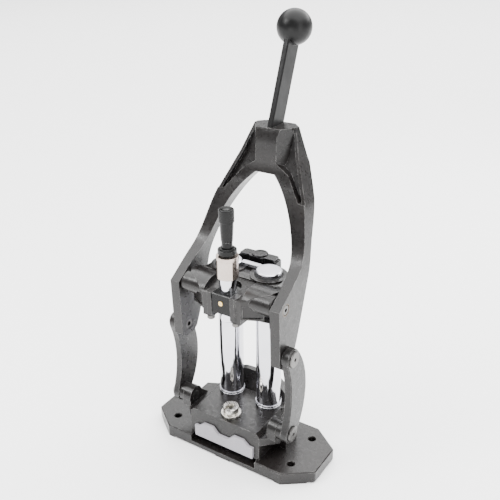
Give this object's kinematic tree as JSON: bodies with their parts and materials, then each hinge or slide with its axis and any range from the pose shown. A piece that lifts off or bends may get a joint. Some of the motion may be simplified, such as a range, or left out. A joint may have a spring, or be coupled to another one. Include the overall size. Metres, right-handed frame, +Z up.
{
  "type": "bench press",
  "caption": "Hand-worked toggle bench press: a wishbone yoke and curved side links draw a die-carrying head down two guide rods over a base block with a catch drawer",
  "frame": {"origin": "centre of the four bench bolt holes, on the plane that the base plate's feet stand on", "axes": "+Z up along the guide rods, -Y towards the user (the drawer side), +X to the user's right"},
  "size_m": [0.265, 0.208, 0.586],
  "materials": {
    "cast_black": "textured black powder coat",
    "rod_chrome": "ground and hard-chromed",
    "nickel": "satin nickel",
    "bright_steel": "machined steel",
    "dark_steel": "blackened steel",
    "bronze": "sintered bronze",
    "brass": "turned brass",
    "seal_rubber": "matt nitrile rubber",
    "gloss_black": "glossy moulded cover",
    "anodised_black": "black anodised",
    "bar_black": "satin black",
    "ball_black": "satin black phenolic",
    "drawer_grey": "light grey cast aluminium"
  },
  "bodies": {
    "base": {"base_plate": "cast_black", "base_block": "cast_black", "block_screws": "dark_steel", "rod_foot_screws": "dark_steel", "rod_collars": "rod_chrome", "rod_tie_bar": "rod_chrome", "shell_ram": "bright_steel", "shell_holder": "bright_steel", "drawer_magnets": "bright_steel", "guide_rod_left": "rod_chrome", "guide_rod_right": "rod_chrome", "base_pin_left": "dark_steel", "base_pin_right": "dark_steel"},
    "drawer": {"catch_drawer": "drawer_grey"},
    "head": {"press_head": "cast_black", "rod_bushings_upper": "bronze", "rod_bushings_lower": "bronze", "rod_wipers": "seal_rubber", "rear_cover": "gloss_black", "cover_screws": "dark_steel", "cover_cap": "gloss_black", "stop_screws": "dark_steel", "detent_plungers": "dark_steel", "head_pin_left": "dark_steel", "head_pin_right": "dark_steel"},
    "shuttle": {"die_shuttle": "anodised_black", "shuttle_screw": "brass", "die_body": "rod_chrome", "die_sleeve": "nickel", "seal_ring": "anodised_black", "micrometer_barrel": "anodised_black"},
    "thimble": {"micrometer_thimble": "anodised_black", "seating_spindle": "bright_steel"},
    "yoke_body": {"yoke": "cast_black", "handle_bar": "bar_black", "ball_knob": "ball_black", "handle_set_screws": "dark_steel", "yoke_bushing_left": "bronze", "yoke_bushing_right": "bronze", "lug_pin_left": "dark_steel", "lug_pin_right": "dark_steel"},
    "link_left": {"side_link_left": "cast_black", "link_bushing_left": "bronze", "link_cap_left": "dark_steel"},
    "link_right": {"side_link_right": "cast_black", "link_bushing_right": "bronze", "link_cap_right": "dark_steel"}
  },
  "joints": [
    {"name": "head_slide", "type": "slide", "parent": "base", "child": "head", "axis": [0, 0, -1], "range_m": [0, 0.0929]},
    {"name": "yoke_swing", "type": "hinge", "parent": "head", "child": "yoke_body", "pos_m": [0, -0.027, 0.252], "axis": [1, 0, 0], "range_deg": [0, 90]},
    {"name": "link_left_swing", "type": "hinge", "parent": "base", "child": "link_left", "pos_m": [-0.09, -0.026, 0.066], "axis": [-1, 0, 0], "range_deg": [0, 35.2]},
    {"name": "link_right_swing", "type": "hinge", "parent": "base", "child": "link_right", "pos_m": [0.09, -0.026, 0.066], "axis": [-1, 0, 0], "range_deg": [0, 35.2]},
    {"name": "shuttle_slide", "type": "slide", "parent": "head", "child": "shuttle", "axis": [0, -1, 0], "range_m": [0, 0.045]},
    {"name": "thimble_turn", "type": "hinge", "parent": "shuttle", "child": "thimble", "pos_m": [0, -0.03, 0.34], "axis": [0, 0, 1], "range_deg": [-180, 180]},
    {"name": "drawer_slide", "type": "slide", "parent": "base", "child": "drawer", "axis": [0, -1, 0], "range_m": [0, 0.04]}
  ],
  "couplings": [
    {"joint": "head_slide", "follows": "yoke_swing", "m_per_rad": 0.059068},
    {"joint": "link_left_swing", "follows": "yoke_swing", "ratio": 0.38937},
    {"joint": "link_right_swing", "follows": "yoke_swing", "ratio": 0.38937}
  ]
}
